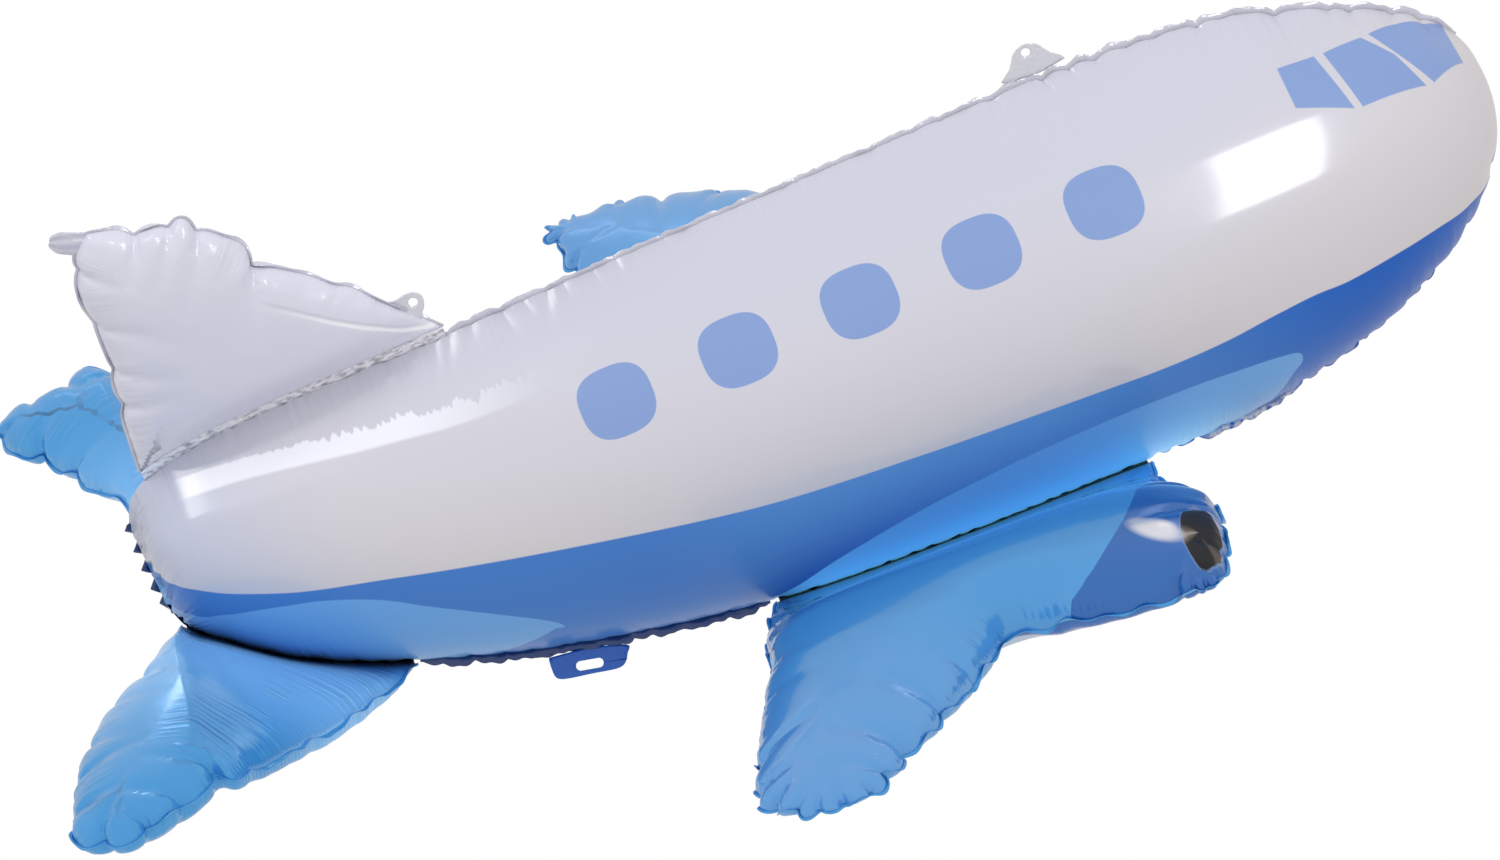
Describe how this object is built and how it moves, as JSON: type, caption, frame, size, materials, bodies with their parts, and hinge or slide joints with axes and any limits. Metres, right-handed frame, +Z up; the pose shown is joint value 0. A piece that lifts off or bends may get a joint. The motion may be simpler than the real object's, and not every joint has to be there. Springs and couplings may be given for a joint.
{
  "type": "airliner-shaped foil balloon",
  "caption": "Inflated foil balloon in the form of an airliner: fuselage of sealed panels, wings with engine pods, tailplanes, fin and hang tabs. It floats or hangs level.",
  "frame": {"origin": "on the fuselage's middle line over the middle of the wing roots, where the lift of the gas is taken to act (mount centre_of_lift)", "axes": "+X towards the nose, +Y towards the left wing, +Z up, with the balloon level"},
  "size_m": [1.0664, 0.8298, 0.4594],
  "materials": {
    "pearl_foil": "glossy pearl white printed film",
    "royal_blue_foil": "glossy royal blue printed film",
    "light_blue_foil": "glossy light blue printed film",
    "engine_blue_foil": "glossy mid blue printed film",
    "clear_film": "glossy sealed film, silvery"
  },
  "bodies": {
    "root": {"fuselage_side_left": "pearl_foil", "fuselage_side_right": "pearl_foil", "fuselage_belly": "royal_blue_foil", "spine_seam": "pearl_foil", "tail_seam": "pearl_foil", "spine_tab": "clear_film", "lower_seam_front_left": "royal_blue_foil", "lower_seam_front_right": "royal_blue_foil", "lower_seam_rear_left": "royal_blue_foil", "lower_seam_rear_right": "royal_blue_foil", "belly_tab_left": "royal_blue_foil", "belly_tab_right": "royal_blue_foil", "fin": "pearl_foil", "fin_seam": "pearl_foil", "fin_root_seal": "clear_film", "fin_tab": "clear_film", "filler_tail": "pearl_foil", "wing_left": "light_blue_foil", "wing_right": "light_blue_foil", "wing_seam_left": "light_blue_foil", "wing_seam_right": "light_blue_foil", "wing_root_seal_left": "engine_blue_foil", "wing_root_seal_right": "engine_blue_foil", "engine_pod_left": "engine_blue_foil", "engine_pod_right": "engine_blue_foil", "engine_seam_left": "engine_blue_foil", "engine_seam_right": "engine_blue_foil", "tailplane_left": "light_blue_foil", "tailplane_right": "light_blue_foil", "tailplane_seam_left": "light_blue_foil", "tailplane_seam_right": "light_blue_foil", "tailplane_root_seal_left": "royal_blue_foil", "tailplane_root_seal_right": "royal_blue_foil"}
  },
  "joints": []
}
